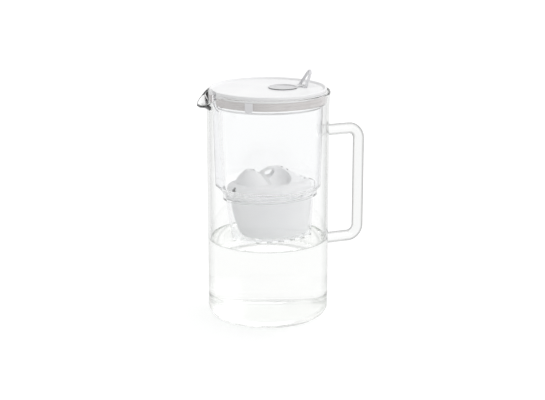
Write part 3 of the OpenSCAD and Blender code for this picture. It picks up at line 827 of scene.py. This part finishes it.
lid_profile = rounded(
    [(0, PLATE_Z), (PLUG_R - 1.7, PLATE_Z), (PLUG_R - 1.7, PLUG_Z), (PLUG_R, PLUG_Z), (PLUG_R, LID_Z),
     (LID_R, LID_Z), (LID_R, LID_TOP), (LID_R - 1.8, LID_TOP), (LID_R - 4.0, DISH_Z), (0, DISH_Z)],
    [0, 0.6, 0.4, 0.4, 0.3, 0.6, 0.9, 0.9, 2.0, 0], steps=5)
lid = as_object(spin_profile(lid_profile, steps=240), "lid_frosted")
collar = rod_between((FILL_X, 0, PLUG_Z), (FILL_X, 0, PLATE_Z + 1), FILL_R + 1.6, 96)
boolean(lid, as_object(collar, "collar"), "UNION")


def tray(half, grow, top):
    """Hinge tray: a trough under the barrels that rises in a ramp toward the handle."""
    section = [(-TRAY_BACK - grow, top), (-TRAY_BACK - grow, -TRAY_DEPTH - grow),
               (TRAY_BACK + grow / 2, -TRAY_DEPTH - grow),
               (TRAY_RAMP + grow, DISH_Z - HINGE_Z - grow), (TRAY_RAMP + grow, top)]
    bm = bmesh.new()
    face = bm.faces.new([bm.verts.new((HINGE_X + x, -half, HINGE_Z + z)) for x, z in section])
    made = bmesh.ops.extrude_face_region(bm, geom=[face])["geom"]
    far_side = [g for g in made if isinstance(g, bmesh.types.BMVert)]
    bmesh.ops.translate(bm, vec=(0, 2 * half, 0), verts=far_side)
    bmesh.ops.recalc_face_normals(bm, faces=bm.faces)
    return as_object(bm, "tray")


def hinge_rod(name, start, end, radius):
    """Round bar on the hinge line, from start to end across the lid."""
    return as_object(rod_between((HINGE_X, start, HINGE_Z), (HINGE_X, end, HINGE_Z), radius), name)


boolean(lid, tray(TRAY_HALF + TRAY_T, TRAY_T, 0.0), "UNION")
boolean(lid, as_object(rod_between((FILL_X, 0, 230), (FILL_X, 0, 260), FILL_R, 96), "fill"))
boolean(lid, tray(TRAY_HALF, 0.0, 10.0))
boolean(lid, hinge_rod("bore", -TRAY_HALF - TRAY_T + 0.1, TRAY_HALF + TRAY_T - 0.1, PIN_R + 0.02))
notch = block((-80, -LID_NOTCH_HALF, 230), (-LID_NOTCH_X, LID_NOTCH_HALF, 260))
boolean(lid, as_object(notch, "notch"))
flat_cut = block((-80, -80, 230), (0, 80, LID_Z))
for vert in flat_cut.verts:
    if vert.co.x > -1:
        vert.co.x = -flat_at(vert.co.z) + HOPPER_WALL + LID_GAP
boolean(lid, as_object(flat_cut, "flat"))
soften(lid, 0.25)
finish_piece(lid, LID_WHITE, "lid", ["lid_plate"])

# %% [markdown]
# ## Flip cap and finger loop
# The cap is a shallow dish whose rim lies over the lid on a soft ring. Its arm reaches to a barrel
# on the pin. The loop stands up from a knuckle on each side of the barrel: two legs lean together
# and an arch joins them, so pressing it toward the handle lifts the cap.

# %% Cap, ring and loop
CAP_R = 14.0
CAP_RIM_R = 15.6
CAP_RIM_Z = 248.0
CAP_TOP = 248.6
CAP_DISH = 1.2
CAP_ARM_X = 31.5
CAP_ARM_TOP = CAP_TOP - 0.02
RING_Z = 247.62
RING_T = 0.36
RING_IN_R = 14.05
RING_OUT_R = 15.2
ARM_HALF = 5.0
SIDE_GAP = 0.05
LOOP_HALF = 9.0
LOOP_R = 1.6
ARCH_R = 3.5
ARCH_Z = 16.5
ARCH_STEPS = 14
LEG_LEN = 18.47
LOOP_SPREAD = 17.9
LOOP_LEAN = 28
BARREL_HALF = 10.6

cap_profile = rounded(
    [(0, PLATE_Z), (CAP_R, PLATE_Z), (CAP_R, CAP_RIM_Z), (CAP_RIM_R, CAP_RIM_Z), (CAP_RIM_R, CAP_TOP),
     (14.4, CAP_TOP), (13.2, CAP_TOP - CAP_DISH), (0, CAP_TOP - CAP_DISH)],
    [0, 0.3, 0.1, 0.15, 0.25, 0.2, 0.6, 0], steps=3)
disc = spin_profile(cap_profile, steps=96)
bmesh.ops.translate(disc, verts=disc.verts, vec=(FILL_X, 0, 0))
cap = as_object(disc, "flip_cap_frosted")
arm = block((CAP_ARM_X, -ARM_HALF, RING_Z), (HINGE_X, ARM_HALF, CAP_ARM_TOP))
boolean(cap, as_object(arm, "arm"), "UNION")
root = block((HINGE_X - BARREL_R, -ARM_HALF, HINGE_Z), (HINGE_X, ARM_HALF, CAP_ARM_TOP))
boolean(cap, as_object(root, "root"), "UNION")
boolean(cap, hinge_rod("barrel", -ARM_HALF, ARM_HALF, BARREL_R), "UNION")
boolean(cap, hinge_rod("bore", -20, 20, PIN_R + 0.05))
soften(cap, 0.12)
finish_piece(cap, CAP_WHITE_SHADED, "flip_cap", ["flip_cap"])

# Painted shadow: the ring is a real seal, and its near-black colour stands for the shadow under the cap's
# rim.
seal_bm = spin_profile([(RING_IN_R, RING_Z), (RING_OUT_R, RING_Z), (RING_OUT_R + 0.15, RING_Z + RING_T / 2),
                        (RING_OUT_R, RING_Z + RING_T), (RING_IN_R, RING_Z + RING_T)], steps=96)
bmesh.ops.translate(seal_bm, verts=seal_bm.verts, vec=(FILL_X, 0, 0))
seal = as_object(seal_bm, "cap_ring")
gap = block((FILL_X, -ARM_HALF - SIDE_GAP, 240), (60, ARM_HALF + SIDE_GAP, 255))
boolean(seal, as_object(gap, "gap"))
finish_piece(seal, SEAL_SHADOW_BLACK, "flip_cap", ["flip_cap_seal"])


def loop_path():
    """Up one leg, round the arch and down the other, leaning toward the handle."""
    tilt = math.radians(LOOP_SPREAD)
    leg = [(LOOP_HALF - LEG_LEN * share * math.sin(tilt), LEG_LEN * share * math.cos(tilt))
           for share in (0, 0.25, 0.5, 0.75, 1)]
    turns = [tilt + (math.pi - 2 * tilt) * i / ARCH_STEPS for i in range(1, ARCH_STEPS)]
    arch = [(ARCH_R * math.cos(turn), ARCH_Z + ARCH_R * math.sin(turn)) for turn in turns]
    points = leg + arch + [(-y, z) for y, z in reversed(leg)]
    lean = Matrix.Rotation(math.radians(LOOP_LEAN), 3, "Y")
    centres = [Vector((HINGE_X, 0, HINGE_Z)) + lean @ Vector((0, y, z)) for y, z in points]
    ways = [centres[min(i + 1, len(centres) - 1)] - centres[max(i - 1, 0)] for i in range(len(centres))]
    radii = [LOOP_R] * 4 + [LOOP_R - 0.05] + [LOOP_R - 0.13] * len(arch) + [LOOP_R - 0.05] + [LOOP_R] * 4
    return centres, ways, radii


loop = as_object(sweep_tube(*loop_path(), segments=32), "finger_loop")
for side in (-1, 1):
    start, end = sorted((side * (ARM_HALF + SIDE_GAP), side * BARREL_HALF))
    boolean(loop, hinge_rod("knuckle", start, end, BARREL_R), "UNION")
boolean(loop, hinge_rod("bore", -20, 20, PIN_R + 0.05))
finish_piece(loop, LOOP_CLEAR, "flip_cap", ["lift_loop"])

# %% [markdown]
# ## The cartridge
# The cup is a tapered oval with a rounded foot and a flange. The cap's soft lobes are built as
# they would be carved: hulls for the shoulder and the two lobes, minus two finger bowls and the
# gap under the pull bar, then remeshed and smoothed so that every crease becomes a fillet.

# %% Cartridge cup
CART_Z = 133.5
FLANGE_T = 2.2
FLANGE_ROUND = 0.7
CART_WALL = 1.6
CART_SEGMENTS = 128
OUTLET_STEP = 6.5
OUTLET_REACH = 13.5

cup_wall = CUP_RINGS + [(CART_Z, 46.8, 30.6, 3.4), (CART_Z + 1, 46.8, 30.6, 3.4)]
cup = as_object(tapered(cup_wall, 0.0, CART_SEGMENTS, 2.1), "cartridge_cup_white")


def flange_body(low):
    """Oval disc with a rounded edge, from low upward."""
    bm = bmesh.new()
    high = low + FLANGE_T
    edge = FLANGE_ROUND
    levels = [(low, -edge), (low + edge * 0.3, -edge * 0.3), (low + edge, 0), (high - edge, 0),
              (high - edge * 0.3, -edge * 0.3), (high, -edge)]
    return join_rings(bm, [ring(bm, z, CART_A + grow, CART_B + grow, CART_X, CART_SEGMENTS)
                           for z, grow in levels])


boolean(cup, as_object(flange_body(CART_Z), "flange"), "UNION")
inner_rings = [(CUP_Z + CART_WALL, *CUP_RINGS[2][1:])] + CUP_RINGS[3:] + [(CART_Z + 4, *CUP_RINGS[-1][1:])]
boolean(cup, as_object(tapered(inner_rings, -CART_WALL, CART_SEGMENTS), "hollow"))
for i in range(-4, 5):
    slot_x = CUP_RINGS[0][3] + OUTLET_STEP * i
    outlet = block((slot_x - 1, -OUTLET_REACH, CUP_Z - 1), (slot_x + 1, OUTLET_REACH, CUP_Z + 3))
    boolean(cup, as_object(outlet, "outlet"))
finish_piece(cup, CARTRIDGE_WHITE, "cartridge", ["cartridge_cup"])

# %% Cartridge cap
CAP_Z = 135.8
CAP_FLOOR = 138.0
VOXEL = 0.55
BOWL_R = 12.5
BOWL_X = 8
BOWL_Y = 16
BOWL_Z = 157
SLIT_X = -42.5
SLIT_Y = 10.5
SHOULDER = [(144.0, 47.6, 30.5, 2.0), (146.6, 45.8, 28.8, 2.0), (148.0, 42.0, 25.0, 2.0)]
LEFT_LOBE = [(146.5, 20, 23, -17), (152.5, 14, 16, -20), (158.3, 8, 9, -21.5), (162.0, 4.5, 4.5, -20.7)]
RIGHT_LOBE = [(146.5, 29, 24, 12), (151.3, 25, 20, 11), (158.8, 15.2, 11, 7.2), (162.6, 8.5, 5.5, 7.5),
              (163.3, 2.2, 2.0, 5.5)]
EYE = [(-2.8, 156.6, 3.4), (2.6, 158.6, 2.8), (1.6, 156.3, 2.5)]
HOLES = [(-17.4, 2.5, 1.2), (-12.6, 3.0, 1.1), (15.0, 2.5, 1.1), (20.7, 4.0, 1.2), (41.0, 5.0, 1.1)]


def hull_of(slices, inset, name):
    """Convex hull round oval slices (z, half length, half width, x), drawn in by inset."""
    bm = bmesh.new()
    for z, length, width, x in slices:
        ring(bm, z - inset, max(length - inset, 0.6), max(width - inset, 0.6), x, 64)
    made = bmesh.ops.convex_hull(bm, input=bm.verts)
    bmesh.ops.delete(bm, geom=list({g for g in made["geom_interior"] + made["geom_unused"]
                                    if isinstance(g, bmesh.types.BMVert)}), context="VERTS")
    return as_object(bm, name)


def cap_solid(inset):
    """Shoulder and lobes of the cap, their outside or, with an inset, their inside."""
    foot = CAP_FLOOR - (4 if inset else 1.0)
    solid = hull_of([(foot + inset, 47.9, 30.8, 2.0)] + SHOULDER, inset, "shoulder")
    boolean(solid, hull_of(LEFT_LOBE, inset, "left lobe"), "UNION")
    boolean(solid, hull_of(RIGHT_LOBE, inset, "right lobe"), "UNION")
    for side in (-1, 1):
        bowl = bmesh.new()
        bmesh.ops.create_icosphere(bowl, subdivisions=4, radius=BOWL_R + inset,
                                   matrix=Matrix.Translation((BOWL_X, side * BOWL_Y, BOWL_Z)))
        boolean(solid, as_object(bowl, "bowl"))
    eye = bmesh.new()
    upright = Matrix.Rotation(math.pi / 2, 4, "X")
    for x, z, radius in EYE:
        for y in (-30, 30):
            bmesh.ops.create_circle(eye, segments=32, radius=radius + inset,
                                    matrix=Matrix.Translation((x, y, z)) @ upright)
    bmesh.ops.convex_hull(eye, input=eye.verts)
    return boolean(solid, as_object(eye, "eye"))


cart_cap = cap_solid(0.0)
boolean(cart_cap, as_object(flange_body(CAP_Z), "flange"), "UNION")
boolean(cart_cap, cap_solid(CART_WALL))
step = cart_cap.modifiers.new("voxels", "REMESH")
step.mode = "VOXEL"
step.voxel_size = VOXEL
step = cart_cap.modifiers.new("fillets", "SMOOTH")
step.factor = 0.5
step.iterations = 5
keep_result(cart_cap)
cart_cap.name = "cartridge_cap_white"
for x, y, radius in HOLES:
    for side in (-1, 1):
        hole = rod_between((x, side * y, CAP_FLOOR + 2), (x, side * y, 180), radius, 24)
        boolean(cart_cap, as_object(hole, "hole"))
for side in (-1, 1):
    slit = block((SLIT_X - 1.8, side * SLIT_Y - 1.2, 141), (SLIT_X + 1.8, side * SLIT_Y + 1.2, 152))
    boolean(cart_cap, as_object(slit, "slit"))
finish_piece(cart_cap, CARTRIDGE_WHITE, "cartridge", ["cartridge_cap"])
# Painted shade: faces on the walls of the holes and slits get the dark grey hole material.
cart_cap.data.materials.append(HOLE_PAINTED_SHADE)
openings = [(x, side * y, radius + 0.15) for x, y, radius in HOLES for side in (-1, 1)]
openings += [(SLIT_X, side * SLIT_Y, 2.4) for side in (-1, 1)]
for face in cart_cap.data.polygons:
    spot = face.center / MM
    upright_face = abs(face.normal.z) < 0.35 and spot.z > CAP_FLOOR + 2
    if upright_face and any(math.hypot(spot.x - x, spot.y - y) < radius for x, y, radius in openings):
        face.material_index = 1

# %% [markdown]
# ## Studio
# The floor is plain and pale and runs far past the view. A diffuse floor keeps the soft shadow,
# and a little glow that only the camera sees lifts it to the white of the picture. Glass and
# mirrors see it as plain white. Two wide soft lamps from above shape the white plastic. Dark
# cards at the far left and right, seen only through glass, draw the edges of the clear parts.

# %% Floor, world and lamps
FLOOR_SIZE = 14.0
FLOOR_TONE = 0.80
FLOOR_GLOW = 0.22
WORLD_LIGHT = 0.66
CARD_LEFT = 0.05
CARD_RIGHT = 0.3
BOUNCES = 64


def side_cards(tree, direction):
    """Brightness of the studio through glass: white, with a dark card at the far left and right."""
    unit = add_node(tree, "ShaderNodeVectorMath", operation="NORMALIZE")
    tree.links.new(direction, unit.inputs[0])
    side = add_node(tree, "ShaderNodeVectorMath", operation="DOT_PRODUCT")
    turn = math.radians(CAMERA_TURN)
    side.inputs[1].default_value = (math.cos(turn), -math.sin(turn), 0)
    tree.links.new(unit.outputs["Vector"], side.inputs[0])
    place = add_node(tree, "ShaderNodeMapRange")
    place.inputs["From Min"].default_value = -1
    tree.links.new(side.outputs["Value"], place.inputs["Value"])
    cards = add_node(tree, "ShaderNodeValToRGB")
    cards.color_ramp.elements[0].color = (CARD_LEFT, CARD_LEFT, CARD_LEFT, 1)
    cards.color_ramp.elements[1].color = (CARD_RIGHT, CARD_RIGHT, CARD_RIGHT, 1)
    for spot, tone in ((0.10, CARD_LEFT), (0.20, 1.0), (0.82, 1.0), (0.92, CARD_RIGHT)):
        cards.color_ramp.elements.new(spot).color = (tone, tone, tone, 1)
    tree.links.new(place.outputs["Result"], cards.inputs["Fac"])
    seen = add_node(tree, "ShaderNodeMath", operation="MAXIMUM")
    tree.links.new(cards.outputs["Color"], seen.inputs[0])
    tree.links.new(light_path_share(tree, ["Is Camera Ray", "Is Glossy Ray"]), seen.inputs[1])
    return seen.outputs[0]


floor_bm = bmesh.new()
bmesh.ops.create_grid(floor_bm, x_segments=2, y_segments=2, size=FLOOR_SIZE / 2)
floor = as_object(floor_bm, "floor")
material, tree, shader = start_material("pale floor")
shader.inputs["Base Color"].default_value = (FLOOR_TONE, FLOOR_TONE, FLOOR_TONE, 1)
shader.inputs["Roughness"].default_value = 0.9
shader.inputs["Specular IOR Level"].default_value = 0.1
shader.inputs["Emission Color"].default_value = (1, 1, 1, 1)
glow = add_node(tree, "ShaderNodeMath", operation="MULTIPLY")
glow.inputs[1].default_value = FLOOR_GLOW
tree.links.new(light_path_share(tree, ["Is Camera Ray"]), glow.inputs[0])
tree.links.new(glow.outputs[0], shader.inputs["Emission Strength"])
white = add_node(tree, "ShaderNodeEmission")
spot = add_node(tree, "ShaderNodeTexCoord")
tree.links.new(side_cards(tree, spot.outputs["Object"]), white.inputs["Strength"])
choice = add_node(tree, "ShaderNodeMixShader")
tree.links.new(light_path_share(tree, ["Is Glossy Ray", "Is Transmission Ray"]), choice.inputs["Fac"])
tree.links.new(shader.outputs["BSDF"], choice.inputs[1])
tree.links.new(white.outputs["Emission"], choice.inputs[2])
tree.links.new(choice.outputs["Shader"], tree.nodes["Material Output"].inputs["Surface"])
floor.data.materials.append(material)

world = bpy.data.worlds.new("studio")
world.use_nodes = True
scene.world = world
tree = world.node_tree
background = tree.nodes["Background"]
background.inputs["Color"].default_value = (1, 1, 1, 1)
seen = light_path_share(tree, ["Is Camera Ray", "Is Glossy Ray", "Is Transmission Ray"])
level = add_node(tree, "ShaderNodeMapRange")
level.inputs["To Min"].default_value = WORLD_LIGHT
tree.links.new(seen, level.inputs["Value"])
way = add_node(tree, "ShaderNodeTexCoord")
tree.links.new(side_cards(tree, way.outputs["Generated"]), level.inputs["To Max"])
tree.links.new(level.outputs["Result"], background.inputs["Strength"])


def lamp(name, direction, spread, strength):
    """Distant soft light that comes from the given direction and is spread degrees wide."""
    data = bpy.data.lights.new(name, "SUN")
    data.angle = math.radians(spread)
    data.energy = strength
    made = bpy.data.objects.new(name, data)
    made.rotation_euler = Vector(direction).to_track_quat("Z", "Y").to_euler()
    scene.collection.objects.link(made)


lamp("key lamp", (0.55, 0.25, 1.0), 70, 1.25)
lamp("fill lamp", (0.7, -1.0, 0.6), 60, 0.7)
for kind in ("max_bounces", "transmission_bounces", "transparent_max_bounces", "glossy_bounces"):
    setattr(scene.cycles, kind, BOUNCES)
print("floor and lamps set")

# %% [markdown]
# ## Finish
# Standard view keeps a colour as it is written.

# %% Finish
scene.view_settings.view_transform = "Standard"
